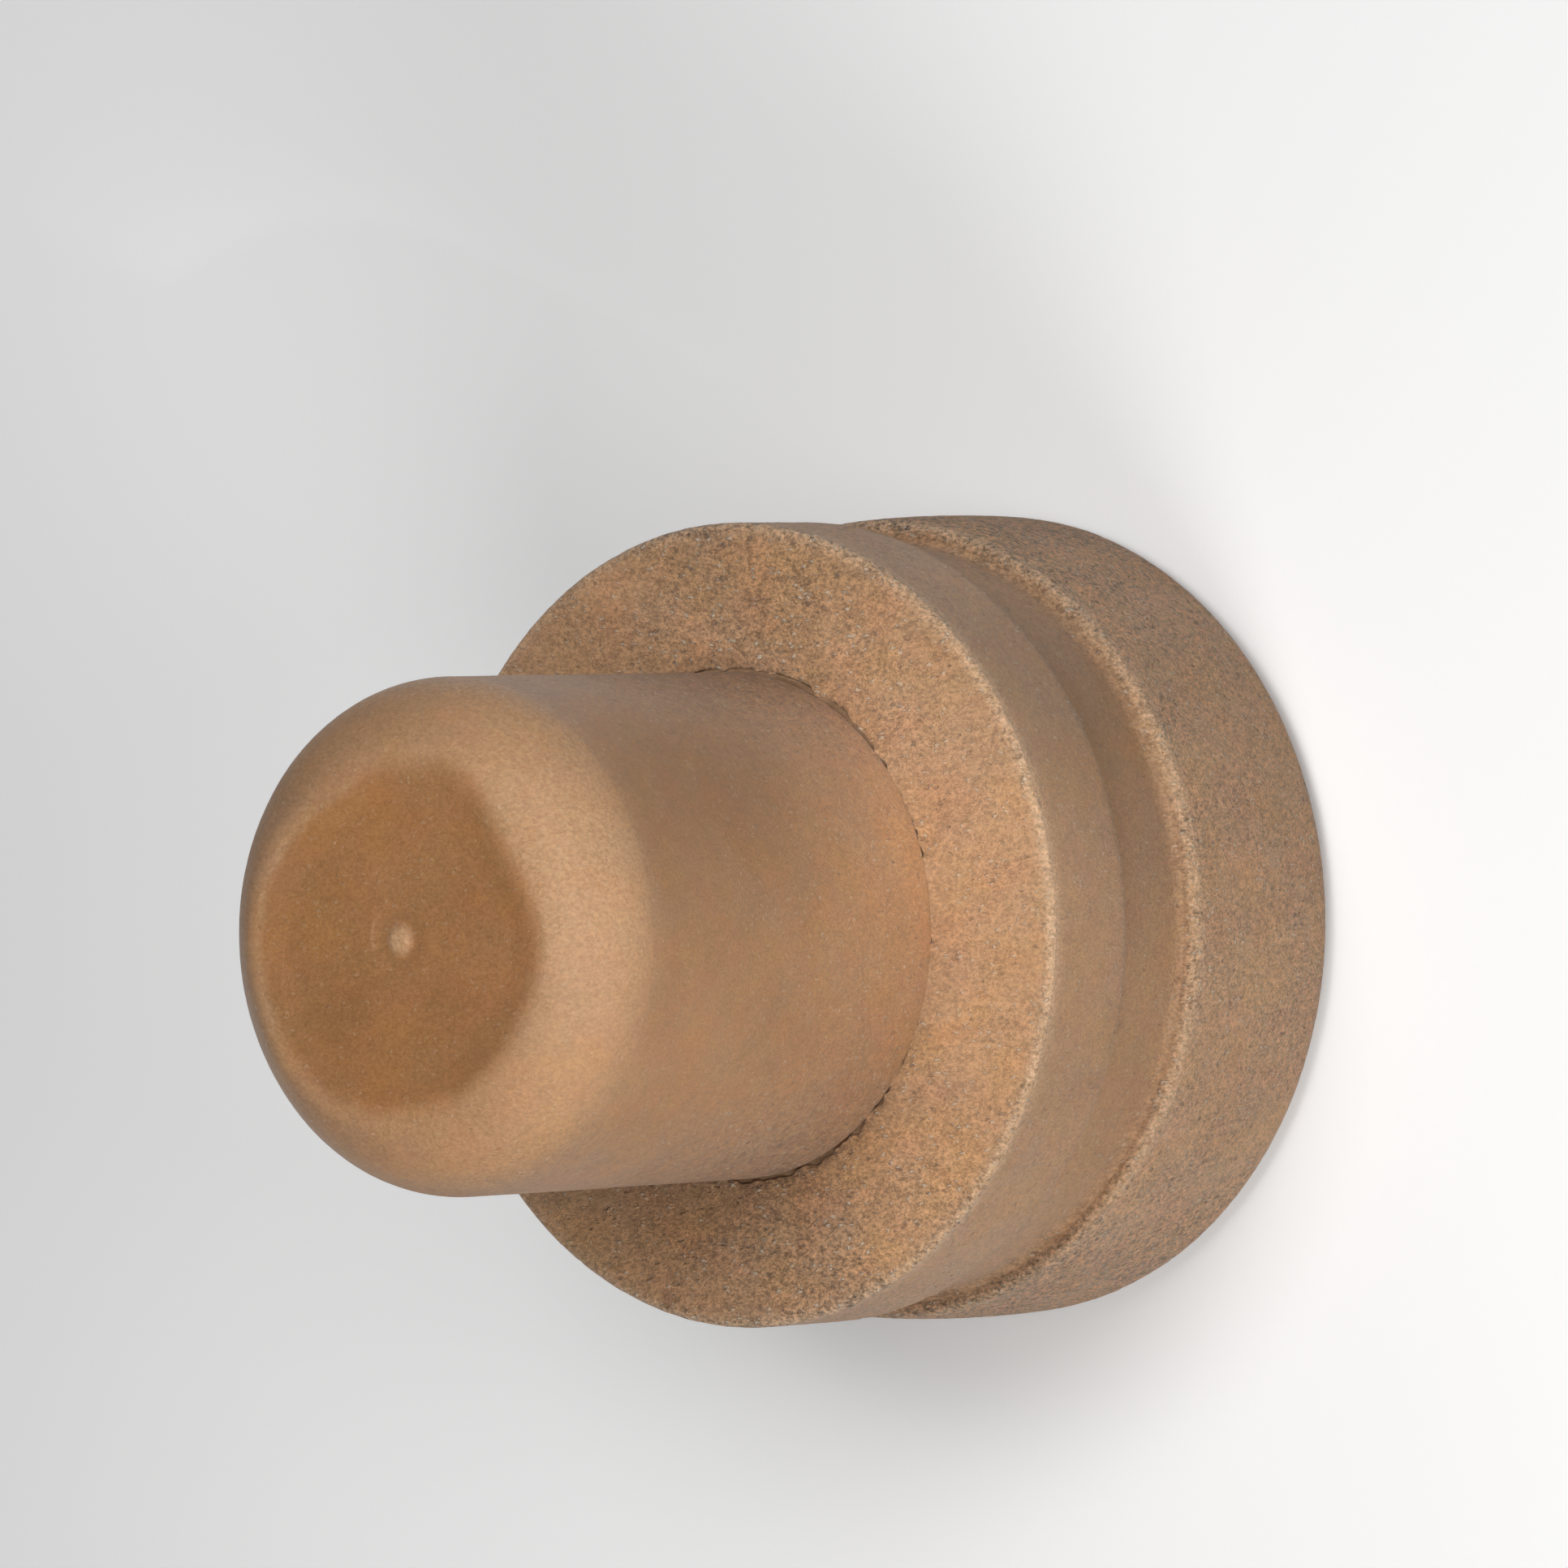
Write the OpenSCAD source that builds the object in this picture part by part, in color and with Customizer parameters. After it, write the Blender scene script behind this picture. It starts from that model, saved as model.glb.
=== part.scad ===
// Bar-top bottle stopper: a grooved round head with a moulded shank glued into it.
// The stopper stands on its flat crown with the shank pointing up.
// Millimetres, +Z up, origin at the centre of the crown.

/* [Shank] */
// Diameter of the shank, which fills the neck of the bottle
shank_d = 19.5; // [17:0.1:23]
// Length of the shank that stands out of the head
shank_length = 19.6; // [14:0.1:26]
// Radius of the round-over that leads the nose into the neck
nose_round = 3.2; // [2:0.05:4.5]
// Depth of the moulded skin of the nose below its ground rim
nose_recess = 0.15; // [0.1:0.05:0.6]

/* [Gate mark] */
// Diameter of the well at the centre of the nose
gate_well_d = 2.9; // [1.6:0.1:4]
// Depth of the well below the moulded skin
gate_well_depth = 0.1; // [0.05:0.05:0.4]
// Diameter of the stub that stands in the well
gate_stub_d = 0.85; // [0.4:0.05:1.2]
// Height of the stub above the floor of the well
gate_stub_height = 0.2; // [0.1:0.05:0.4]

/* [Head] */
// Diameter of the band beside the shoulder
band_d = 31.0; // [28:0.1:36]
// How much wider the barrelled rear part is than the band
barrel_extra_d = 0.55; // [0.2:0.05:1.2]
// Height of the head, from the crown to the shoulder
head_height = 17.6; // [16:0.1:24]
// Height of the widest place above the crown
barrel_height = 3.6; // [2.5:0.1:6]
// Radius of the barrelled side, seen in section
barrel_round = 65; // [30:1:90]
// Radius of the round-over between the crown and the side
crown_round = 1.2; // [0.8:0.05:2]
// Radius of the broken edge around the shoulder
shoulder_round = 0.3; // [0.2:0.05:0.8]

/* [Groove] */
// Width of the band between the shoulder and the groove
band_width = 4.8; // [3.5:0.1:5]
// Width of the groove
groove_width = 4.0; // [3:0.1:4.8]
// Depth of the groove below the band
groove_depth = 0.75; // [0.4:0.05:1.2]
// Radius of the round-overs at the lips of the groove
lip_round = 0.4; // [0.15:0.05:0.5]
// Radius of the fillet between the floor of the groove and its rear wall
floor_fillet = 0.3; // [0.1:0.05:0.4]

/* [Glued joint] */
// Diameter of the spigot at the root of the shank, which the head holds
spigot_d = 13; // [9:0.1:15]
// Depth of the socket in the shoulder
socket_depth = 6; // [3:0.1:9]
// Thickness of the glue around and under the spigot, and under the foot of the shank
glue_thickness = 0.15; // [0.1:0.01:0.3]
// Width of the open seam around the foot of the shank
seam_width = 0.15; // [0.1:0.01:0.3]
// How far the rim of the glue stops short of the side of the shank
glue_rim_inset = 0.3; // [0.2:0.01:0.5]

/* [Hidden] */
$fn = 128;
overcut = 1;
shank_r = shank_d / 2;
band_r = band_d / 2;
floor_r = band_r - groove_depth;
spigot_r = spigot_d / 2;
socket_r = spigot_r + glue_thickness;
socket_floor_z = head_height - socket_depth;
spigot_foot_z = socket_floor_z + glue_thickness;
seat_z = head_height - glue_thickness;
nose_z = head_height + shank_length;
nose_arc_z = nose_z - nose_round;
skin_r = shank_r - nose_round;
skin_z = nose_z - nose_recess;
well_z = skin_z - gate_well_depth;
front_lip_z = head_height - band_width;
rear_lip_z = front_lip_z - groove_width;
barrel_r = band_r + barrel_extra_d / 2;
barrel_centre = [barrel_r - barrel_round, barrel_height];

// Centre of a corner arc at height z that touches the barrelled side from inside
function corner_arc_centre(z, corner_round) = [
    barrel_centre[0] + sqrt(pow(barrel_round - corner_round, 2) - pow(z - barrel_height, 2)),
    z
];

// What the round-over takes off one corner of the rear part: way is -1 at the crown and 1 at the groove
module corner_waste(edge_z, corner_round, way) {
    arc_centre = corner_arc_centre(edge_z - way * corner_round, corner_round);
    outward = (arc_centre - barrel_centre) / (barrel_round - corner_round);
    beyond = arc_centre + outward * (corner_round + overcut);
    past_edge_z = edge_z + way * overcut;
    difference() {
        polygon([arc_centre, beyond, [beyond[0], past_edge_z], [arc_centre[0], past_edge_z]]);
        translate(arc_centre)
            circle(r = corner_round);
    }
}

// Half section of the barrelled rear part, from the crown to the rear lip of the groove
module rear_section() {
    difference() {
        intersection() {
            translate(barrel_centre)
                circle(r = barrel_round);
            square([barrel_r + overcut, rear_lip_z]);
        }
        corner_waste(0, crown_round, -1);
        corner_waste(rear_lip_z, lip_round, 1);
    }
}

// Half section of the floor of the groove, with the fillet at its rear wall
module floor_section() {
    translate([0, crown_round])
        square([floor_r, head_height - shoulder_round - crown_round]);
    difference() {
        translate([floor_r, rear_lip_z])
            square(floor_fillet);
        translate([floor_r + floor_fillet, rear_lip_z + floor_fillet])
            circle(r = floor_fillet);
    }
}

// Half section of the band, with its lip below and its shoulder edge above
module band_section() {
    translate([0, front_lip_z + lip_round])
        square([band_r, band_width - lip_round - shoulder_round]);
    rounded_edge(front_lip_z, lip_round, 1);
    rounded_edge(head_height, shoulder_round, -1);
}

// One rounded edge of the band: way is 1 where the band lies above edge_z and -1 where it lies below
module rounded_edge(edge_z, edge_round, way) {
    low_z = min(edge_z, edge_z + way * edge_round);
    translate([0, low_z])
        square([band_r - edge_round, edge_round]);
    translate([band_r - edge_round, edge_z + way * edge_round])
        circle(r = edge_round);
}

// Half section of the nose: a flat end with a quarter-round edge
module nose_section() {
    translate([0, nose_arc_z])
        square([skin_r, nose_round]);
    intersection() {
        translate([skin_r, nose_arc_z])
            circle(r = nose_round);
        translate([0, nose_arc_z])
            square([shank_r, nose_round]);
    }
}

// The ring-shaped well, which leaves the gate stub standing at its centre
module gate_well() {
    difference() {
        cylinder(d = gate_well_d, h = gate_well_depth + nose_recess + overcut);
        translate([0, 0, -overcut])
            cylinder(d = gate_stub_d, h = gate_stub_height + overcut);
    }
}

// The grooved head, with a blind socket in its shoulder and a shallow seat around the socket's mouth
module head() {
    color("#b08d6a")
    difference() {
        rotate_extrude() {
            rear_section();
            floor_section();
            band_section();
        }
        translate([0, 0, socket_floor_z])
            cylinder(r = socket_r, h = socket_depth + overcut);
        translate([0, 0, seat_z])
            cylinder(r = shank_r + seam_width, h = glue_thickness + overcut);
    }
}

// The shank, with the spigot at its root, its rounded nose and the mark left by the mould's gate
module shank() {
    color("#c09a72")
    difference() {
        union() {
            translate([0, 0, spigot_foot_z])
                cylinder(r = spigot_r, h = nose_arc_z - spigot_foot_z);
            translate([0, 0, head_height])
                cylinder(r = shank_r, h = nose_arc_z - head_height);
            rotate_extrude()
                nose_section();
        }
        translate([0, 0, skin_z])
            cylinder(r = skin_r, h = nose_recess + overcut);
        translate([0, 0, well_z])
            gate_well();
    }
}

// The glue: a thin cup around the spigot, with a flange between the seat and the foot of the shank
module glue_film() {
    color("#6b4a30")
    difference() {
        union() {
            translate([0, 0, socket_floor_z])
                cylinder(r = socket_r, h = socket_depth - glue_thickness);
            translate([0, 0, seat_z])
                cylinder(r = shank_r - glue_rim_inset, h = glue_thickness);
        }
        translate([0, 0, spigot_foot_z])
            cylinder(r = spigot_r, h = socket_depth + overcut);
    }
}

head();
shank();
glue_film();
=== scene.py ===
"""A bar-top bottle stopper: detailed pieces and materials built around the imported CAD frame.

The outlines are in millimetres, as in the CAD source, and every mesh is made in metres.
The stopper stands on its crown at z = 0, with its axis along +Z.
"""

import math

import bpy
import numpy as np
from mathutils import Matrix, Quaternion, Vector, noise


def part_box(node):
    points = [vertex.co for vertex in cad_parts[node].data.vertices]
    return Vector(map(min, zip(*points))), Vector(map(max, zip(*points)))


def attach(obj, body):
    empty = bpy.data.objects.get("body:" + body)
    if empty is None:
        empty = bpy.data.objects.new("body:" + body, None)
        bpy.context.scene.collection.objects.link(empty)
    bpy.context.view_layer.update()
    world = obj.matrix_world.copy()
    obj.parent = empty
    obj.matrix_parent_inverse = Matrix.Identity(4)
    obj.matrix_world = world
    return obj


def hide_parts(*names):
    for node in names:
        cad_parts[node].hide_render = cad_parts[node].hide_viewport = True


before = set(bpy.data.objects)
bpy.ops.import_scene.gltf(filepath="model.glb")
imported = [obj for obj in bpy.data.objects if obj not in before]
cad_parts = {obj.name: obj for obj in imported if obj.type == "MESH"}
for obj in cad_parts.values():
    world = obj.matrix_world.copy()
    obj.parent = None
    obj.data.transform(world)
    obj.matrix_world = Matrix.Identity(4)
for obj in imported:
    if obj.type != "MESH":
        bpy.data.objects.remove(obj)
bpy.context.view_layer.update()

MM = 0.001
TAU = 2 * math.pi

# ---- Sizes in millimetres: the CAD's own, read from its boxes where a box gives them ----


def box_mm(node):
    """(outer radius, lowest z, highest z) of a round CAD node, in millimetres."""
    low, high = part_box(node)
    return high.x / MM, low.z / MM, high.z / MM


BARREL_R, _, HEAD_HEIGHT = box_mm("head")
SHANK_R, SPIGOT_FOOT_Z, NOSE_Z = box_mm("shank")
_, SOCKET_FLOOR_Z, _ = box_mm("glue_film")

# The head: a barrelled rear part on a rounded crown, a groove between two lips, and a band.
# BARREL_HEIGHT is where the barrel is widest, and BARREL_ROUND is the radius of its side's arc
BAND_R = 15.5
BARREL_HEIGHT = 3.6
BARREL_ROUND = 65.0
CROWN_ROUND = 1.2
SHOULDER_ROUND = 0.3
BAND_WIDTH = 4.8
GROOVE_WIDTH = 4.0
GROOVE_DEPTH = 0.75
LIP_ROUND = 0.4
FLOOR_FILLET = 0.3
FRONT_LIP_Z = HEAD_HEIGHT - BAND_WIDTH
REAR_LIP_Z = FRONT_LIP_Z - GROOVE_WIDTH
FLOOR_R = BAND_R - GROOVE_DEPTH

# The glue round the spigot, and the open seam round the shank in the shoulder's seat
GLUE = 0.15
SEAM_WIDTH = 0.15
SPIGOT_R = 6.5
SOCKET_R = SPIGOT_R + GLUE
SEAT_R = SHANK_R + SEAM_WIDTH
SEAT_Z = HEAD_HEIGHT - GLUE

# The shank: a rounded foot and nose, and a smooth sunk disc of moulded skin on the nose.
# RIM_SLOPE is the width of the disc's soft border. The gate's well and stub are at its centre
FOOT_ROUND = 0.1
NOSE_ROUND = 3.2
NOSE_RECESS = 0.15
STRAIGHT_TOP_Z = NOSE_Z - NOSE_ROUND
SKIN_R = SHANK_R - NOSE_ROUND
RIM_SLOPE = 1.5
WELL_R = 1.4
WELL_DEPTH = 0.05
STUB_R = 0.65
STUB_HEIGHT = 0.15
STUB_OFFSET = Vector((-0.03, 0.07))
ARC_HEIGHT = 0.01
FOOT_CHEW = 0.05

SEGMENTS_HEAD = 480
SEGMENTS_SHANK = 400
SEGMENTS_GLUE = 400

# ---- Noise and shaping helpers ----


def field(points, size, seed):
    """Smooth noise from about -1 to 1 at points in millimetres, with features about size across.

    Every use has a seed of its own, so that no two patterns line up."""
    shift = Vector((seed * 17.3, seed * 5.1, seed * 9.7))
    return np.array([noise.noise(Vector(p) / size + shift) for p in points])


def smooth(low, high, value):
    """0 below low, 1 above high and a smooth rise between."""
    t = np.clip((value - low) / (high - low), 0, 1)
    return t * t * (3 - 2 * t)


def turn_from(angle, centre_deg):
    """How far an azimuth lies from centre_deg, in degrees from -180 to 180."""
    return (np.degrees(angle) - centre_deg + 180) % 360 - 180


def near_angle(angle, centre_deg, half_width_deg):
    """1 at an azimuth and 0 beyond half_width_deg from it, both in degrees."""
    return 1 - smooth(0, half_width_deg, np.abs(turn_from(angle, centre_deg)))


def lobes(angle, places):
    """Sum of soft lobes round the axis: (azimuth, half width) in degrees and the amount there."""
    return sum(near_angle(angle, centre, width) * amount for centre, width, amount in places)


def marks(points, places):
    """Small soft marks: 1 at each (azimuth in degrees, r, z, size) and 0 away from it."""
    total = np.zeros(len(points))
    for azimuth, r, z, size in places:
        a = math.radians(azimuth)
        away = np.linalg.norm(points - (r * math.cos(a), r * math.sin(a), z), axis=1)
        total = np.maximum(total, np.exp(-(away / size) ** 2))
    return total


def ring_points(angle, r):
    """Points at radius r in the plane z = 0. With r = 1 they are the outward directions."""
    return np.stack([np.cos(angle) * r, np.sin(angle) * r, 0 * angle], axis=1)


class Outline:
    """A half section that starts and ends on the axis, as points (r, z, part) in millimetres."""

    def __init__(self, z):
        self.points = [(0.0, z, "start")]

    def line(self, r, z, step, part):
        r0, z0, _ = self.points[-1]
        count = max(1, round(math.hypot(r - r0, z - z0) / step))
        for i in range(1, count + 1):
            t = i / count
            self.points.append((r0 + (r - r0) * t, z0 + (z - z0) * t, part))

    def arc(self, centre, radius, start_deg, end_deg, step, part):
        sweep = math.radians(end_deg - start_deg)
        count = max(3, round(abs(sweep) * radius / step))
        for i in range(1, count + 1):
            a = math.radians(start_deg) + sweep * i / count
            self.points.append(
                (centre[0] + radius * math.cos(a), centre[1] + radius * math.sin(a), part)
            )


def lathe(name, outline, segments, relief):
    """Turns an outline round the axis into one closed mesh.

    relief takes (points, azimuths, normals, parts) and returns the moved points and a dict of
    per-vertex attributes. Points are in millimetres, one row per vertex.
    """
    rings = outline.points[1:-1]
    angles = np.arange(segments) * TAU / segments
    r = np.array([p[0] for p in rings])
    z = np.array([p[1] for p in rings])
    parts = np.repeat(np.array([p[2] for p in rings]), segments)
    path = np.array([(p[0], p[1]) for p in outline.points])
    along = path[2:] - path[:-2]
    along /= np.linalg.norm(along, axis=1)[:, None]
    azimuths = np.tile(angles, len(rings))
    points = np.stack(
        [np.repeat(r, segments) * np.cos(azimuths), np.repeat(r, segments) * np.sin(azimuths),
         np.repeat(z, segments)], axis=1)
    out_r = np.repeat(along[:, 1], segments)
    out_z = np.repeat(-along[:, 0], segments)
    normals = np.stack([out_r * np.cos(azimuths), out_r * np.sin(azimuths), out_z], axis=1)
    ends = np.array([(0, 0, outline.points[0][1]), (0, 0, outline.points[-1][1])])
    all_points = np.vstack([points, ends])
    all_normals = np.vstack([normals, [(0, 0, -1), (0, 0, 1)]])
    all_azimuths = np.append(azimuths, [0, 0])
    all_parts = np.append(parts, [rings[0][2], rings[-1][2]])
    moved, attributes = relief(all_points, all_azimuths, all_normals, all_parts)

    faces = []
    for i in range(len(rings) - 1):
        low, high = i * segments, (i + 1) * segments
        for j in range(segments):
            k = (j + 1) % segments
            faces.append((low + j, low + k, high + k, high + j))
    first, last = len(rings) * segments, len(rings) * segments + 1
    top = (len(rings) - 1) * segments
    for j in range(segments):
        k = (j + 1) % segments
        faces.append((first, k, j))
        faces.append((last, top + j, top + k))
    mesh = bpy.data.meshes.new(name)
    mesh.from_pydata((moved * MM).tolist(), [], faces)
    for key, values in attributes.items():
        layer = mesh.attributes.new(key, "FLOAT", "POINT")
        layer.data.foreach_set("value", values.astype(np.float32))
    mesh.shade_smooth()
    mesh.update()
    piece = bpy.data.objects.new(name, mesh)
    bpy.context.scene.collection.objects.link(piece)
    return piece


def grit(points, wave, lump, grain):
    """How far a ground surface lies below its true shape, in millimetres: never above it.

    wave, lump and grain are the depths of its coarse, middle and fine unevenness."""
    waves = field(points, 3.2, seed=1) * 0.5 + 0.5
    lumps = field(points, 0.8, seed=2) * 0.5 + 0.5
    grains = field(points, 0.27, seed=3) * 0.5 + 0.5
    return wave * waves + lump * lumps + grain * grains


# ---- Pieces ----


def barrel_corner(z, corner_round):
    """Centre of a corner arc at height z that touches the barrelled side from inside, and the
    angle in degrees at which they touch."""
    barrel_x = BARREL_R - BARREL_ROUND
    reach = math.sqrt((BARREL_ROUND - corner_round) ** 2 - (z - BARREL_HEIGHT) ** 2)
    return (barrel_x + reach, z), math.degrees(math.atan2(z - BARREL_HEIGHT, reach))


def head_outline():
    crown, crown_deg = barrel_corner(CROWN_ROUND, CROWN_ROUND)
    rear, rear_deg = barrel_corner(REAR_LIP_Z - LIP_ROUND, LIP_ROUND)
    barrel = (BARREL_R - BARREL_ROUND, BARREL_HEIGHT)
    fillet = (FLOOR_R + FLOOR_FILLET, REAR_LIP_Z + FLOOR_FILLET)
    o = Outline(0.0)
    o.line(crown[0], 0.0, 0.6, "crown")
    o.arc(crown, CROWN_ROUND, -90, crown_deg, 0.2, "crown_round")
    o.arc(barrel, BARREL_ROUND, crown_deg, rear_deg, 0.2, "barrel")
    o.arc(rear, LIP_ROUND, rear_deg, 90, 0.08, "rear_lip")
    o.line(fillet[0], REAR_LIP_Z, 0.08, "rear_wall")
    o.arc(fillet, FLOOR_FILLET, -90, -180, 0.08, "fillet")
    o.line(FLOOR_R, FRONT_LIP_Z, 0.2, "groove_floor")
    o.line(BAND_R - LIP_ROUND, FRONT_LIP_Z, 0.12, "front_wall")
    o.arc((BAND_R - LIP_ROUND, FRONT_LIP_Z + LIP_ROUND), LIP_ROUND, -90, 0, 0.08, "front_lip")
    o.line(BAND_R, HEAD_HEIGHT - SHOULDER_ROUND, 0.2, "band")
    o.arc((BAND_R - SHOULDER_ROUND, HEAD_HEIGHT - SHOULDER_ROUND), SHOULDER_ROUND, 0, 90, 0.07,
          "shoulder_edge")
    o.line(SEAT_R + 0.3, HEAD_HEIGHT, 0.2, "shoulder")
    o.line(SEAT_R, HEAD_HEIGHT, 0.06, "seat_edge")
    o.line(SEAT_R, SEAT_Z, 0.05, "seat_wall")
    o.line(SOCKET_R, SEAT_Z, 1.0, "seat")
    o.line(SOCKET_R, SOCKET_FLOOR_Z, 1.5, "socket")
    o.line(0.0, SOCKET_FLOOR_Z, 2.5, "socket")
    return o


INSIDE = ("seat", "socket")
GROOVED = ("rear_wall", "fillet", "groove_floor", "front_wall", "front_lip", "band")
REAR = ("barrel", "crown_round", "rear_lip")
CRUMBLY = ("rear_lip", "front_lip", "shoulder_edge")
# How coarse the ground surface of each part of the head is, from 0 to 1
COARSE = {
    "crown": 0.8, "crown_round": 0.9, "barrel": 1.0, "rear_lip": 0.9, "rear_wall": 0.8,
    "fillet": 0.5, "groove_floor": 0.35, "front_wall": 0.4, "front_lip": 0.5, "band": 0.4,
    "shoulder_edge": 0.8, "shoulder": 0.6, "seat_edge": 0.7, "seat_wall": 0.7,
}
# Painted highlights along the head's rounded edges, where they catch the light: r, z, and how far
# each highlight reaches, all in millimetres
EDGE_HIGHLIGHTS = [(BAND_R, HEAD_HEIGHT, 0.45), (BAND_R, REAR_LIP_Z, 0.5)]
EDGE_HIGHLIGHT_MOST = 1.2
# Dark nicks and a burr on the head: azimuth in degrees, then r, z and size in millimetres
HEAD_NICKS = [
    (-19.2, 15.7, 6.72, 0.25), (-106.2, 14.75, 11.96, 0.2), (-42.7, 14.75, 11.72, 0.18),
    (165.2, 15.2, 17.5, 0.22), (163.9, 14.95, 17.55, 0.16),
]
BURR = (-12.4, 15.5, 14.0, 0.3)
BURR_HEIGHT = 0.16
# How deep the crumbly edges are chipped, and how far the seat's edge is sunk where it is open
CHIP_DEPTH = 0.05
SEAT_SUNK = 0.04
# Loose dust round the foot of the shank where the seam is closed
DUST_HEIGHT = 0.14
DUST_REACH = 0.2

# Lobes round the axis: azimuth and half width in degrees, and the amount at the middle.
# Where the sides are turned to the top or the foot of the view, and the grain is rougher
GRAZED = [(-8, 52, 1.0), (-168, 52, 1.0)]
SEAM_CLOSED = [(-90, 80, 1.0)]
# Painted shade in the groove on its front wall and rounded front edge, strongest on one side
LIP_PAINTED_SHADE = [(-50, 60, 0.35)]
# Painted light and shade: how much lighter or darker the shoulder is, and the groove with the band,
# by how the light falls on them
SHOULDER_PAINTED_SHADES = [(-132, 40, 0.12), (-45, 50, -0.08)]
GROOVE_PAINTED_SHADES = [(-52, 48, -0.22), (-100, 75, -0.13)]
# How much lighter the whole shoulder is, how much lighter the coarse parts are, partly to make up
# for their darker bumps and partly as painted light, and the painted light on the rear part's
# rougher sides turned to the top and the foot of the view
SHOULDER_LIGHT = 0.04
COARSE_LIFT_AND_PAINTED_LIGHT = 0.2
GRAZED_PAINTED_LIGHT = 0.15
# How open the seam is on average away from its closed side
SEAM_OPEN = 0.8
# Dirt and painted shade round the shank's foot: how far the dark seam line's and the faint
# darkening's reach from the open seam and the corner, and how strong that darkening is on the
# shoulder and on the shank
SEAM_REACH = 0.16
FOOT_REACH = 0.14
GRIME_AND_SHADE_REACH = 0.6
SHOULDER_GRIME_AND_SHADE = 0.42
SHANK_GRIME_AND_SHADE = 0.3


def seam_opening(angle):
    """How open the seam round the foot of the shank is, from 0 to 1, crumbling at random."""
    ring = ring_points(angle, SEAT_R)
    steady = SEAM_OPEN - lobes(angle, SEAM_CLOSED)
    crumbs = field(ring, 1.1, seed=8) * 1.1 + field(ring, 0.35, seed=9) * 0.6
    return np.clip(steady + crumbs, 0, 1)


def edge_highlights(r, z):
    """Painted highlight along the head's rounded edges: above 1 on an edge, fading with the
    distance.
    """
    return sum(EDGE_HIGHLIGHT_MOST * np.exp(-(((r - edge_r) ** 2 + (z - edge_z) ** 2) / reach ** 2))
               for edge_r, edge_z, reach in EDGE_HIGHLIGHTS)


def head_shape(points, angle, normals, parts):
    """The head's moved points: ground surface, chipped edges, burr and crumbling seam."""
    r = np.hypot(points[:, 0], points[:, 1])
    depth = grit(points, wave=0.02, lump=0.012, grain=0.022 + 0.02 * lobes(angle, GRAZED))
    chips = smooth(0.25, 0.75, field(points, 0.5, seed=4)) * CHIP_DEPTH
    depth += np.where(np.isin(parts, CRUMBLY), chips, 0)
    depth -= BURR_HEIGHT * marks(points, [BURR])
    depth = np.where(np.isin(parts, INSIDE), 0, depth)
    moved = points - normals * depth[:, None]

    # The shoulder grows in over the seat, past the shank's side, where the seam is closed
    opening = seam_opening(angle)
    closing = SEAM_WIDTH * 1.5 * (1 - opening)
    weight = 1 - smooth(0.0, 0.5, r - SEAT_R)
    weight = np.where(np.isin(parts, ("shoulder", "seat_edge", "seat_wall")), weight, 0)
    moved -= ring_points(angle, 1) * (closing * weight)[:, None]

    sunk = SEAT_SUNK * (1 - smooth(0.0, 0.15, r - SEAT_R)) * (parts == "seat_edge")
    moved[:, 2] -= sunk * opening * (1 + 0.6 * field(points, 0.4, seed=11))
    dust = DUST_HEIGHT * (1 + 0.5 * field(points, 0.3, seed=19)) * np.exp((SEAT_R - r) / DUST_REACH)
    moved[:, 2] += dust * (1 - opening) * np.isin(parts, ("shoulder", "seat_edge"))
    return moved


def head_relief(points, angle, normals, parts):
    r = np.hypot(points[:, 0], points[:, 1])
    on_top = smooth(HEAD_HEIGHT - 0.3, HEAD_HEIGHT - 0.2, points[:, 2])
    # A dark line where the seam is open: partly a dirty joint and partly painted shade in the gap
    seam = np.exp(-np.abs(r - SEAT_R) / SEAM_REACH) * on_top * seam_opening(angle)
    # Darkening that fades out from the corner round the shank: partly dust and partly painted shade
    grime_and_shade = SHOULDER_GRIME_AND_SHADE * np.exp(-np.abs(r - SEAT_R) / GRIME_AND_SHADE_REACH) * on_top
    # Painted shade in the groove on its front wall and rounded front edge
    lip_shade = np.isin(parts, ("front_wall", "front_lip")) * (0.15 + lobes(angle, LIP_PAINTED_SHADE))
    nicks = 0.9 * marks(points, HEAD_NICKS)
    coarse = np.array([COARSE.get(part, 0.0) for part in parts])
    grazed = lobes(angle, GRAZED)
    # Painted light and shade, and a lift on the coarse parts for their darker bumps
    shade = COARSE_LIFT_AND_PAINTED_LIGHT * coarse
    shade += (SHOULDER_LIGHT + lobes(angle, SHOULDER_PAINTED_SHADES)) * (parts == "shoulder")
    # Painted light on the rear part's sides turned to the top and the foot of the view
    shade += GRAZED_PAINTED_LIGHT * grazed * np.isin(parts, REAR)
    shade += lobes(angle, GROOVE_PAINTED_SHADES) * np.isin(parts, GROOVED)
    return head_shape(points, angle, normals, parts), {
        "dirt_and_painted_shade": np.maximum.reduce([seam, grime_and_shade, lip_shade, nicks]),
        "pale_and_highlit": np.minimum(1, edge_highlights(r, points[:, 2])) * ~np.isin(parts, INSIDE),
        "coarse": coarse * (1 + 0.35 * field(points, 2.6, seed=15)) * (1 + grazed),
        "shade": shade,
    }


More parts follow.
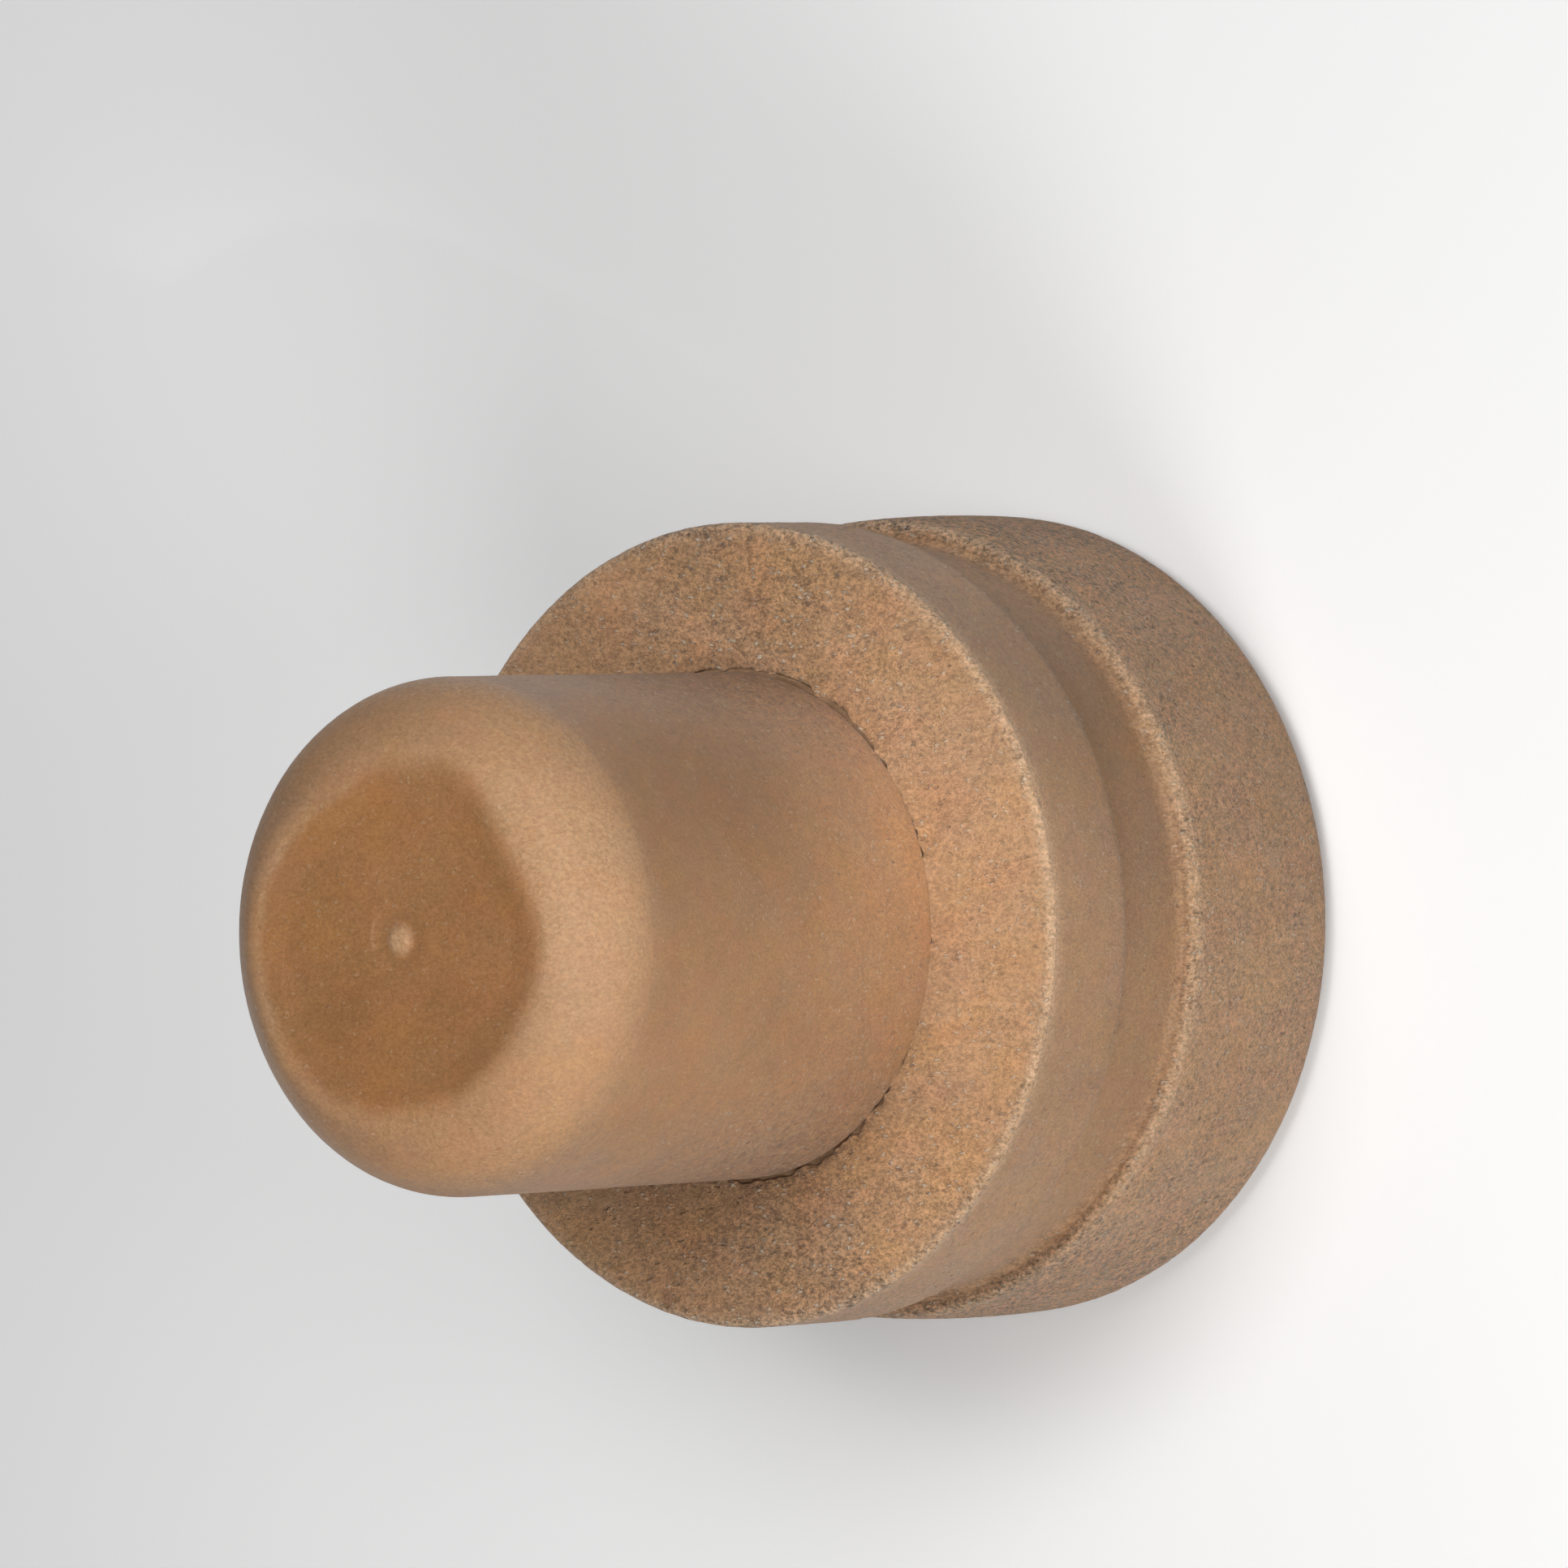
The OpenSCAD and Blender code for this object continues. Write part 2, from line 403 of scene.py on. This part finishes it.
def shank_outline():
    o = Outline(SPIGOT_FOOT_Z)
    o.line(SPIGOT_R, SPIGOT_FOOT_Z, 2.0, "spigot")
    o.line(SPIGOT_R, HEAD_HEIGHT, 1.5, "spigot")
    o.line(SHANK_R - FOOT_ROUND, HEAD_HEIGHT, 1.0, "spigot")
    o.arc((SHANK_R - FOOT_ROUND, HEAD_HEIGHT + FOOT_ROUND), FOOT_ROUND, -90, 0, 0.04, "foot")
    o.line(SHANK_R, HEAD_HEIGHT + 0.6, 0.07, "side")
    o.line(SHANK_R, STRAIGHT_TOP_Z, 0.17, "side")
    o.arc((SKIN_R, STRAIGHT_TOP_Z), NOSE_ROUND, 0, 90, 0.13, "nose_round")
    o.line(SKIN_R - RIM_SLOPE, NOSE_Z, 0.07, "rim")
    o.line(WELL_R + 0.3, NOSE_Z, 0.2, "skin")
    o.line(0.0, NOSE_Z, 0.07, "skin")
    return o


# Lobes round the axis: azimuth and half width in degrees, and the amount at the middle.
# How much lighter or darker the skin is in soft sectors round its centre
SKIN_SECTORS = [(-65, 40, -0.07), (-135, 32, -0.05), (128, 44, -0.08), (15, 50, 0.05), (178, 34, 0.04)]
# How far the border of the skin lies inside its circle, in millimetres
RIM_LOBES = [
    (-165, 40, 0.2), (-97, 42, -0.3), (-60, 28, 0.35), (-28, 28, -0.28), (30, 32, 0.42),
    (98, 55, -0.45), (140, 38, -0.35),
]
# How much wider than elsewhere the skin fades out at its border, in millimetres
RIM_SOFT = [(-50, 80, 0.45)]
# Where the skin's border has a painted highlight along its edge, and where the gate's well has a
# raised arc
RIM_PAINTED_HIGHLIGHT = [(75, 95, 1.0)]
ARC_PALE = [(80, 60, 1.0)]
# Painted light: how much paler than elsewhere the nose's round-over is on its lit side
NOSE_PAINTED_LIGHT = [(-65, 70, 0.4)]
# Painted light and shade: how much darker the far nose and the upper side of the shank are, and how
# much lighter its foot, by how the light falls on them
FAR_NOSE_PAINTED_SHADES = [(80, 135, -0.36)]
FOOT_PAINTED_LIGHT = [(-70, 60, 0.2)]
UPPER_PAINTED_SHADES = [(-60, 75, -0.17)]
# Small marks: azimuth in degrees, then r, z and size in millimetres
SHANK_SPECKS = [(-50.8, SHANK_R, 29.06, 0.2), (101, 1.4, NOSE_Z - NOSE_RECESS, 0.16)]
SHANK_STAINS = [(-123.7, SHANK_R, 25.5, 0.4), (169.7, 8.1, 36.8, 0.5)]


def rim_shift(angle):
    """How far the border of the moulded skin lies inside its circle, in millimetres."""
    ring = ring_points(angle, SKIN_R)
    ragged = 0.07 * field(ring, 1.6, seed=12) + 0.05 * field(ring, 0.6, seed=13)
    return lobes(angle, RIM_LOBES) + ragged


def off_stub(points):
    """Distance from the stub's axis, in millimetres."""
    return np.hypot(points[:, 0] - STUB_OFFSET.x, points[:, 1] - STUB_OFFSET.y)


def gate_arc(points, angle):
    """A faint raised arc on one side of the gate's well."""
    high = points[:, 2] > STRAIGHT_TOP_Z
    return np.exp(-(((off_stub(points) - WELL_R) / 0.09) ** 2)) * lobes(angle, ARC_PALE) * high


def shank_shape(points, angle, normals, parts):
    """The shank's moved points: ground side, chewed foot, sunk skin, gate well and stub."""
    r = np.hypot(points[:, 0], points[:, 1])
    on_skin = np.isin(parts, ("skin", "rim"))
    skin_grit = grit(points, wave=0.02, lump=0.004, grain=0.0)
    ground_grit = grit(points, wave=0.025, lump=0.008, grain=0.01)
    depth = np.where(on_skin, skin_grit, ground_grit)
    depth = np.where(parts == "spigot", 0, depth)
    moved = points - normals * depth[:, None]

    high = points[:, 2] > STRAIGHT_TOP_Z
    weight = np.where(r > SKIN_R, 1 - smooth(0, 2.0, r - SKIN_R), smooth(3.0, SKIN_R, r)) * high
    moved -= ring_points(angle, 1) * (rim_shift(angle) * weight)[:, None]
    recess = NOSE_RECESS * smooth(SKIN_R, SKIN_R - RIM_SLOPE, r)
    moved[:, 2] -= np.where(on_skin, recess, 0)

    near_foot = 1 - smooth(0.0, 0.35, points[:, 2] - HEAD_HEIGHT)
    chew = FOOT_CHEW * smooth(0.0, 0.8, field(points, 0.45, seed=14)) * near_foot
    moved -= ring_points(angle, 1) * (chew * np.isin(parts, ("foot", "side")))[:, None]

    off = off_stub(points)
    well = WELL_DEPTH * smooth(WELL_R + 0.1, WELL_R - 0.6, off)
    stub = STUB_HEIGHT * smooth(STUB_R * 1.1, STUB_R * 0.4, off)
    arc = ARC_HEIGHT * gate_arc(points, angle)
    moved[:, 2] += np.where(parts == "skin", stub + arc - well, 0)
    return moved


def shank_relief(points, angle, normals, parts):
    r = np.hypot(points[:, 0], points[:, 1])
    z = points[:, 2]
    above = z - HEAD_HEIGHT
    high = z > STRAIGHT_TOP_Z
    outside = parts != "spigot"
    on_side = parts == "side"

    off = off_stub(points)
    stub_top = smooth(STUB_R * 1.2, STUB_R * 0.35, off) * (parts == "skin")
    # Painted shade in a ring round the gate's stub
    stub_shade_ring = 0.3 * np.exp(-(((off - STUB_R * 1.4) / 0.22) ** 2)) * (parts == "skin")
    ragged = r + 0.16 * field(points, 0.9, seed=16) + 0.10 * field(points, 0.35, seed=17)
    soft = 0.45 + lobes(angle, RIM_SOFT)
    skin = smooth(SKIN_R - 0.1 + soft, SKIN_R - 0.1 - soft, ragged) * high

    # A dark line where the seam is open: partly a dirty joint and partly painted shade in the gap
    foot = np.exp(-np.abs(above) / FOOT_REACH) * seam_opening(angle) * outside
    # Darkening that fades out from the corner round the shank: partly dust and partly painted shade
    grime_and_shade = SHANK_GRIME_AND_SHADE * np.exp(-np.abs(above) / GRIME_AND_SHADE_REACH) * outside
    stains = 0.25 * marks(points, SHANK_STAINS)

    # A painted highlight along the edge of the skin's border, broken up by noise
    broken = 0.35 + 0.4 * smooth(-0.2, 0.4, field(points, 0.6, seed=18))
    rim = np.exp(-(((r - SKIN_R - 0.05) / 0.18) ** 2)) * high * broken * lobes(angle, RIM_PAINTED_HIGHLIGHT)
    # The nose's round-over is ground pale, and paler still on one side as painted light
    ground = smooth(NOSE_Z - 4.5, NOSE_Z - 2.0, z) * smooth(SKIN_R, SKIN_R + 0.5, r)
    ground *= 0.22 + lobes(angle, NOSE_PAINTED_LIGHT)
    specks = 0.7 * marks(points, SHANK_SPECKS)

    # Painted shade on the far side of the nose
    far_nose_shade = smooth(SKIN_R, SKIN_R + 1.2, r) * lobes(angle, FAR_NOSE_PAINTED_SHADES)
    far_nose_shade *= smooth(STRAIGHT_TOP_Z - 4, STRAIGHT_TOP_Z + 0.5, z)
    shade = lobes(angle, SKIN_SECTORS) * smooth(0.6, 3.5, r) * skin + far_nose_shade
    # Painted light on the side near the foot
    shade += lobes(angle, FOOT_PAINTED_LIGHT) * (1 - smooth(0.0, 3.0, above)) * on_side
    # Painted shade on the upper side
    shade += lobes(angle, UPPER_PAINTED_SHADES) * smooth(3.0, 8.0, above) * on_side

    coarse = 0.45 - 0.30 * smooth(HEAD_HEIGHT, NOSE_Z - 5, z)
    coarse *= 1 + 2 * lobes(angle, GRAZED) * (1 - smooth(STRAIGHT_TOP_Z, NOSE_Z - 0.6, z))
    return shank_shape(points, angle, normals, parts), {
        "dirt_and_painted_shade": np.maximum.reduce([foot, grime_and_shade, stub_shade_ring, stains]),
        "pale_and_highlit": np.maximum.reduce([
            rim, ground, 0.25 * gate_arc(points, angle), 0.75 * stub_top, specks]),
        "skin": skin * (1 - 0.85 * stub_top),
        "shade": shade,
        "coarse": coarse,
    }


# The bead of glue in the seam: its height, its gap to the seat's wall, how far its lumps rise,
# and how much higher it is where it fills the seam
BEAD_HEIGHT = 0.05
BEAD_GAP = 0.02
BEAD_LUMP = 0.03
BEAD_FILL = 0.05


def glue_outline():
    rim_r = SHANK_R - FOOT_ROUND
    o = Outline(SOCKET_FLOOR_Z)
    o.line(SOCKET_R, SOCKET_FLOOR_Z, 2.5, "cup")
    o.line(SOCKET_R, SEAT_Z, 1.5, "cup")
    o.line(rim_r, SEAT_Z, 1.0, "flange")
    o.line(SEAT_R - BEAD_GAP, SEAT_Z, 0.06, "bead")
    o.line(SEAT_R - BEAD_GAP, SEAT_Z + BEAD_HEIGHT, 0.05, "bead")
    o.line(rim_r, SEAT_Z + 0.06, 0.05, "bead")
    o.line(SHANK_R - 0.35, HEAD_HEIGHT, 0.1, "flange")
    o.line(SPIGOT_R, HEAD_HEIGHT, 1.0, "flange")
    o.line(SPIGOT_R, SPIGOT_FOOT_Z, 1.5, "cup")
    o.line(0.0, SPIGOT_FOOT_Z, 2.5, "cup")
    return o


def glue_relief(points, angle, normals, parts):
    """Raises the bead of glue by random lumps. It fills the seam, dusty, where that is closed."""
    lumps = field(ring_points(angle, SEAT_R), 0.5, seed=21) * 0.5 + 0.5
    filled = 1 - seam_opening(angle)
    bead = (parts == "bead") & (points[:, 2] > SEAT_Z + 0.01)
    moved = points.copy()
    moved[:, 2] += np.where(bead, BEAD_LUMP * lumps + BEAD_FILL * filled, 0)
    return moved, {"pale_and_highlit": filled}


# ---- Materials ----


# The grains are longer along Y than across it
GRAIN_STRETCH = (1.0, 0.6, 1.0)


class Nodes:
    """Short ways to add the nodes of one material. Sizes are in millimetres."""

    def __init__(self, name):
        self.material = bpy.data.materials.new(name)
        self.material.use_nodes = True
        self.tree = self.material.node_tree
        self.shader = self.tree.nodes["Principled BSDF"]
        stretch = self.add("ShaderNodeVectorMath", operation="MULTIPLY")
        self.feed(stretch.inputs[0], self.add("ShaderNodeTexCoord").outputs["Object"])
        stretch.inputs[1].default_value = GRAIN_STRETCH
        self.place = stretch.outputs["Vector"]

    def add(self, kind, **settings):
        node = self.tree.nodes.new(kind)
        for key, value in settings.items():
            setattr(node, key, value)
        return node

    def feed(self, socket, value):
        """Links a socket to another one, or sets it to a plain value."""
        if isinstance(value, bpy.types.NodeSocket):
            self.tree.links.new(value, socket)
        else:
            socket.default_value = value

    def noise(self, size_mm, detail=2.0, rough=0.5, place=None):
        node = self.add("ShaderNodeTexNoise")
        self.feed(node.inputs["Vector"], place or self.place)
        node.inputs["Scale"].default_value = 1000.0 / size_mm
        node.inputs["Detail"].default_value = detail
        node.inputs["Roughness"].default_value = rough
        return node.outputs["Fac"]

    def spots(self, apart_mm, share, offset):
        """1 inside small ragged spots of random size, in a share of all cells, and 0 outside them.

        Noise makes the cells' borders wander, and each cell draws the size of its spot."""
        wander = self.add("ShaderNodeTexNoise")
        self.feed(wander.inputs["Vector"], self.moved(offset))
        wander.inputs["Scale"].default_value = 1000.0 / (apart_mm * 0.8)
        wander.inputs["Detail"].default_value = 1.0
        ragged = self.add("ShaderNodeVectorMath", operation="MULTIPLY_ADD")
        self.feed(ragged.inputs[0], wander.outputs["Color"])
        ragged.inputs[1].default_value = [apart_mm * 1.2 * MM] * 3
        self.feed(ragged.inputs[2], self.place)
        cells = self.add("ShaderNodeTexVoronoi")
        self.feed(cells.inputs["Vector"], ragged.outputs["Vector"])
        cells.inputs["Scale"].default_value = 1000.0 / apart_mm
        draw = self.add("ShaderNodeSeparateColor")
        self.feed(draw.inputs["Color"], cells.outputs["Color"])
        size = self.span(draw.outputs["Red"], 1 - share, 1.0, 0.0, 0.55)
        return self.span(self.math("SUBTRACT", size, cells.outputs["Distance"]), 0.0, 0.25)

    def moved(self, offset):
        """The place in the material, shifted, so that another pattern is met there."""
        node = self.add("ShaderNodeVectorMath", operation="ADD")
        self.feed(node.inputs[0], self.place)
        node.inputs[1].default_value = offset
        return node.outputs["Vector"]

    def span(self, value, low, high, out_low=0.0, out_high=1.0):
        """A smooth rise from out_low to out_high while the value goes from low to high."""
        node = self.add("ShaderNodeMapRange", interpolation_type="SMOOTHSTEP")
        for socket, number in zip(node.inputs[:5], (value, low, high, out_low, out_high)):
            self.feed(socket, number)
        return node.outputs[0]

    def math(self, operation, a, b=0.0):
        node = self.add("ShaderNodeMath", operation=operation)
        self.feed(node.inputs[0], a)
        self.feed(node.inputs[1], b)
        return node.outputs[0]

    def mix(self, amount, a, b, blend="MIX"):
        """Mixes two colours: the node's sockets 6 and 7 are its colours, and 2 is the result."""
        node = self.add("ShaderNodeMix", data_type="RGBA", blend_type=blend)
        self.feed(node.inputs[0], amount)
        self.feed(node.inputs[6], a)
        self.feed(node.inputs[7], b)
        return node.outputs[2]

    def attribute(self, name):
        return self.add("ShaderNodeAttribute", attribute_name=name).outputs["Fac"]

    def bump(self, height, distance_mm):
        node = self.add("ShaderNodeBump")
        node.inputs["Strength"].default_value = 1.0
        node.inputs["Distance"].default_value = distance_mm * MM
        self.feed(node.inputs["Height"], height)
        return node.outputs["Normal"]


def times(colour, factor):
    """A colour with each channel multiplied, and alpha 1."""
    return tuple(c * f for c, f in zip(colour, factor)) + (1.0,)


HEAD_TONE = (0.503, 0.291, 0.154)
SHANK_TONE = (0.470, 0.254, 0.122)
# Factors on the tone of the piece
PATCH_GAIN = (1.03, 1.03, 1.03)
SKIN_TONE = (0.81, 0.71, 0.56, 1.0)
# A paler tone for wear and pale marks, and for painted highlights
PALE_AND_HIGHLIT_TONE = (1.34, 1.52, 1.75)
# Plain colours
SPECK = (0.86, 0.70, 0.52, 1.0)
PIT = (0.20, 0.11, 0.06, 1.0)
# Colour of dirt, and of painted shade in the seam, the groove and the corner round the shank
DIRT_AND_SHADE_TONE = (0.25, 0.135, 0.065, 1.0)
# Soft patches of other tan: size in millimetres, and what they do to the colour
PATCHES = [
    (5.0, (0.92, 0.90, 0.87, 1.0)),
    (1.9, (0.94, 0.99, 1.08, 1.0)),
    (1.4, (1.04, 0.96, 0.97, 1.0)),
    (2.3, (1.04, 1.02, 0.90, 1.0)),
    (0.7, (0.93, 0.93, 0.93, 1.0)),
]
PATCH_STRENGTH = 0.7
# Sizes and distances in millimetres, and how strong each thing is
GRAIN_SIZE = 0.12
GRAIN_LEAST = 0.08
GRAIN_COARSE = 0.27
LUMP_SIZE = 0.30
LUMP_STRENGTH = 0.13
SPECK_APART = 0.17
SPECK_SHARE = 0.34
SPECK_COVER = 0.6
PIT_APART = 0.21
PIT_SHARE = 0.18
PIT_COVER = 0.45
RELIEF_LEAST = 0.15
RELIEF_COARSE = 1.1
SPOT_RELIEF = 0.7
RELIEF_HEIGHT = 0.12
GLUE_DARK = (0.22, 0.12, 0.06, 1)
GLUE_DUSTY = (0.38, 0.23, 0.13, 1)
SEAM_DUST = (0.42, 0.25, 0.14, 1)
FLOOR_PALE = [(0.91, 0.91, 0.91, 1), (0.93, 0.93, 0.93, 1)]
FLOOR_BOUNCE = (0.30, 0.30, 0.30, 1.0)
FLOOR_GLOW = 0.18


def composite(name, tone):
    """Fine wood-flour composite, ground dull: cloudy tan, with pale grains and dark pits.

    The mesh says where it is coarse, paler with wear and painted highlights, darker where dirty and
    with painted shade, or covered by the smooth moulded skin, and by what share it is lighter or
    darker there, which is mostly painted light and shade."""
    n = Nodes(name)
    pale_and_highlit, dirt_and_painted_shade, skin = n.attribute("pale_and_highlit"), n.attribute("dirt_and_painted_shade"), n.attribute("skin")
    coarse, shade = n.attribute("coarse"), n.attribute("shade")
    colour = times(tone, PATCH_GAIN)
    for i, (size, factor) in enumerate(PATCHES):
        patch = n.noise(size, 2.0, 0.5, n.moved((0.11 * i, 0.07 * i, 0.05 * i)))
        colour = n.mix(n.span(patch, 0.42, 0.68, 0.0, PATCH_STRENGTH), colour, factor, "MULTIPLY")
    # Painted light and shade, and a lift on the coarse parts
    colour = n.mix(1.0, colour, n.math("ADD", shade, 1.0), "MULTIPLY")
    colour = n.mix(skin, colour, SKIN_TONE, "MULTIPLY")
    # Paler with wear, pale specks and the whitened stub, and with painted highlights on the edges,
    # the skin's rim and one side of the nose
    pale_and_highlit_mix = n.math("MULTIPLY", pale_and_highlit, n.span(n.noise(0.15, 2.0, 0.7), 0.32, 0.62, 0.3, 1.0))
    colour = n.mix(pale_and_highlit_mix, colour, times(tone, PALE_AND_HIGHLIT_TONE))

    fine = n.noise(GRAIN_SIZE, 3.0, 0.8)
    amount = n.math("ADD", n.math("MULTIPLY", coarse, GRAIN_COARSE), GRAIN_LEAST)
    grain = n.math("MULTIPLY", n.span(fine, 0.33, 0.67, -1.0, 1.0), amount)
    lumps = n.span(n.noise(LUMP_SIZE, 2.0, 0.6), 0.33, 0.67, -LUMP_STRENGTH, LUMP_STRENGTH)
    grained = n.math("ADD", n.math("ADD", grain, n.math("MULTIPLY", lumps, coarse)), 1.0)
    colour = n.mix(1.0, colour, grained, "MULTIPLY")
    # Dirt, and painted shade
    dirt_and_shade_mix = n.math("MULTIPLY", dirt_and_painted_shade, n.span(n.noise(0.22, 2.0, 0.6), 0.35, 0.62, 0.25, 1.0))
    colour = n.mix(dirt_and_shade_mix, colour, DIRT_AND_SHADE_TONE)
    speck = n.math("MULTIPLY", n.spots(SPECK_APART, SPECK_SHARE, (0.05, 0.02, 0.07)), coarse)
    pit = n.math("MULTIPLY", n.spots(PIT_APART, PIT_SHARE, (0.31, 0.13, 0.23)), coarse)
    colour = n.mix(n.math("MULTIPLY", speck, SPECK_COVER), colour, SPECK)
    colour = n.mix(n.math("MULTIPLY", pit, PIT_COVER), colour, PIT)
    n.feed(n.shader.inputs["Base Color"], colour)

    rough = n.span(fine, 0.3, 0.7, 0.50, 0.66)
    rough = n.math("SUBTRACT", rough, n.math("MULTIPLY", skin, 0.1))
    n.feed(n.shader.inputs["Roughness"], rough)
    n.shader.inputs["Specular IOR Level"].default_value = 0.4
    n.shader.inputs["Sheen Weight"].default_value = 0.25
    n.shader.inputs["Sheen Roughness"].default_value = 0.35

    depth = n.math("ADD", n.math("MULTIPLY", coarse, RELIEF_COARSE), RELIEF_LEAST)
    relief = n.math("MULTIPLY", fine, depth)
    relief = n.math("ADD", relief, n.math("MULTIPLY", speck, SPOT_RELIEF))
    relief = n.math("SUBTRACT", relief, n.math("MULTIPLY", pit, SPOT_RELIEF))
    n.feed(n.shader.inputs["Normal"], n.bump(relief, RELIEF_HEIGHT))
    return n.material


def set_glue():
    """Dark set glue with dust in it, and dustier where it fills the seam."""
    n = Nodes("set_glue")
    dust = n.span(n.noise(0.4, 3.0, 0.6), 0.4, 0.7)
    colour = n.mix(dust, GLUE_DARK, GLUE_DUSTY)
    colour = n.mix(n.attribute("pale_and_highlit"), colour, SEAM_DUST)
    n.feed(n.shader.inputs["Base Color"], colour)
    n.feed(n.shader.inputs["Roughness"], n.span(dust, 0.0, 1.0, 0.55, 0.85))
    n.feed(n.shader.inputs["Normal"], n.bump(n.noise(0.2, 2.0), 0.03))
    return n.material


def floor_paint():
    """Plain pale matt floor, hardly mottled. It throws little light back up onto the stopper.

    The camera and glossy reflections see it pale and glowing a little. All other light meets a
    darker grey there."""
    n = Nodes("floor_paint")
    pale = n.mix(n.noise(60.0, 2.0), *FLOOR_PALE)
    path = n.add("ShaderNodeLightPath")
    seen = n.math("MAXIMUM", path.outputs["Is Camera Ray"], path.outputs["Is Glossy Ray"])
    n.feed(n.shader.inputs["Base Color"], n.mix(seen, FLOOR_BOUNCE, pale))
    n.shader.inputs["Emission Color"].default_value = (1.0, 1.0, 1.0, 1.0)
    n.feed(n.shader.inputs["Emission Strength"], n.math("MULTIPLY", seen, FLOOR_GLOW))
    n.shader.inputs["Roughness"].default_value = 0.9
    n.shader.inputs["Specular IOR Level"].default_value = 0.1
    return n.material


# ---- Floor, camera and light ----

TABLE_R = 0.35
FLOOR_SIDES = 96
VIEW_ELEVATION = math.radians(50.518)
VIEW_ROLL = math.radians(91.53)
VIEW_DISTANCE = 0.4758
VIEW_AIM = Vector((5.379, 3.82, 9.78)) * MM
VIEW_LENS = 279.5


def add_floor():
    """A round pale table top."""
    mesh = bpy.data.meshes.new("floor")
    turns = [TAU * i / FLOOR_SIDES for i in range(FLOOR_SIDES)]
    rim = [(TABLE_R * math.cos(a), TABLE_R * math.sin(a), 0) for a in turns]
    mesh.from_pydata(rim, [], [tuple(range(FLOOR_SIDES))])
    floor = bpy.data.objects.new("floor", mesh)
    mesh.materials.append(floor_paint())
    bpy.context.scene.collection.objects.link(floor)


def add_camera():
    """The camera looks down at the stopper from -Y, rolled so that its axis lies across the view."""
    data = bpy.data.cameras.new("camera")
    data.sensor_width = 36.0
    data.lens = VIEW_LENS
    data.clip_start = 0.01
    camera = bpy.data.objects.new("camera", data)
    back = Vector((0, -math.cos(VIEW_ELEVATION), math.sin(VIEW_ELEVATION)))
    camera.location = VIEW_AIM + back * VIEW_DISTANCE
    camera.rotation_mode = "QUATERNION"
    level = (-back).to_track_quat("-Z", "Y")
    camera.rotation_quaternion = level @ Quaternion((0, 0, 1), -VIEW_ROLL)
    bpy.context.scene.collection.objects.link(camera)
    bpy.context.scene.camera = camera


# name, azimuth from the camera's side and elevation, both in degrees, and watts
LIGHTS = [
    ("key", 54, 73, 0.134),
    ("side", -58, 34, 0.142),
    ("front", -1, 19, 0.098),
    ("high", 35, 62, 0.079),
    ("low", -49, 9, 0.022),
    ("rim", 104, 12, 0.020),
]
# A narrow soft spot on the foot of the shank: the same three numbers, its cone and its radius
FOOT_SPOT = (-20, 25, 0.78)
FOOT_SPOT_CONE = math.radians(4)
FOOT_SPOT_R = 0.005
FOOT_SPOT_TARGET = Vector((0.0049, -0.0084, 0.019))
LIGHT_DISTANCE = 0.2
LIGHT_SIZE = 0.09
LIGHT_TARGET = Vector((0, 0, 0.018))
SKY_LEVEL = 0.015
HORIZON_LEVEL = 0.5
HORIZON_TOP = 0.07
SKY_START = 0.13


def add_lamp(name, kind, target, azimuth, elevation, watts):
    """A lamp at LIGHT_DISTANCE that faces the target. Returns its settings."""
    a, e = math.radians(azimuth), math.radians(elevation)
    away = Vector((math.sin(a) * math.cos(e), -math.cos(a) * math.cos(e), math.sin(e)))
    data = bpy.data.lights.new(name, kind)
    data.energy = watts
    lamp = bpy.data.objects.new(name, data)
    lamp.location = target + away * LIGHT_DISTANCE
    lamp.rotation_mode = "QUATERNION"
    lamp.rotation_quaternion = (-away).to_track_quat("-Z", "Y")
    lamp.visible_camera = False
    bpy.context.scene.collection.objects.link(lamp)
    return data


def add_lights():
    for name, azimuth, elevation, watts in LIGHTS:
        panel = add_lamp(name, "AREA", LIGHT_TARGET, azimuth, elevation, watts)
        panel.shape = "DISK"
        panel.size = LIGHT_SIZE
    spot = add_lamp("foot_spot", "SPOT", FOOT_SPOT_TARGET, *FOOT_SPOT)
    spot.spot_size = FOOT_SPOT_CONE
    spot.spot_blend = 1.0
    spot.shadow_soft_size = FOOT_SPOT_R


def add_studio():
    """A dim soft room that is pale up to the horizon, where low views look past the floor."""
    world = bpy.data.worlds.new("studio")
    world.use_nodes = True
    tree = world.node_tree
    place = tree.nodes.new("ShaderNodeTexCoord")
    height = tree.nodes.new("ShaderNodeSeparateXYZ")
    level = tree.nodes.new("ShaderNodeMapRange")
    tree.links.new(place.outputs["Generated"], height.inputs[0])
    tree.links.new(height.outputs["Z"], level.inputs["Value"])
    level.inputs["From Min"].default_value = HORIZON_TOP
    level.inputs["From Max"].default_value = SKY_START
    level.inputs["To Min"].default_value = HORIZON_LEVEL
    level.inputs["To Max"].default_value = SKY_LEVEL
    background = tree.nodes["Background"]
    background.inputs["Color"].default_value = (1, 1, 1, 1)
    tree.links.new(level.outputs["Result"], background.inputs["Strength"])
    bpy.context.scene.world = world
    bpy.context.scene.view_settings.view_transform = "Standard"


# ---- Build ----


def add_piece(name, outline, segments, relief, material, node):
    piece = lathe(name, outline, segments, relief)
    piece.data.materials.append(material)
    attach(piece, "root")
    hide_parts(node)


add_camera()
add_floor()
add_lights()
add_studio()
add_piece("stopper_head", head_outline(), SEGMENTS_HEAD, head_relief,
          composite("head_composite", HEAD_TONE), "head")
add_piece("stopper_shank", shank_outline(), SEGMENTS_SHANK, shank_relief,
          composite("shank_composite", SHANK_TONE), "shank")
add_piece("glue_bead", glue_outline(), SEGMENTS_GLUE, glue_relief, set_glue(), "glue_film")
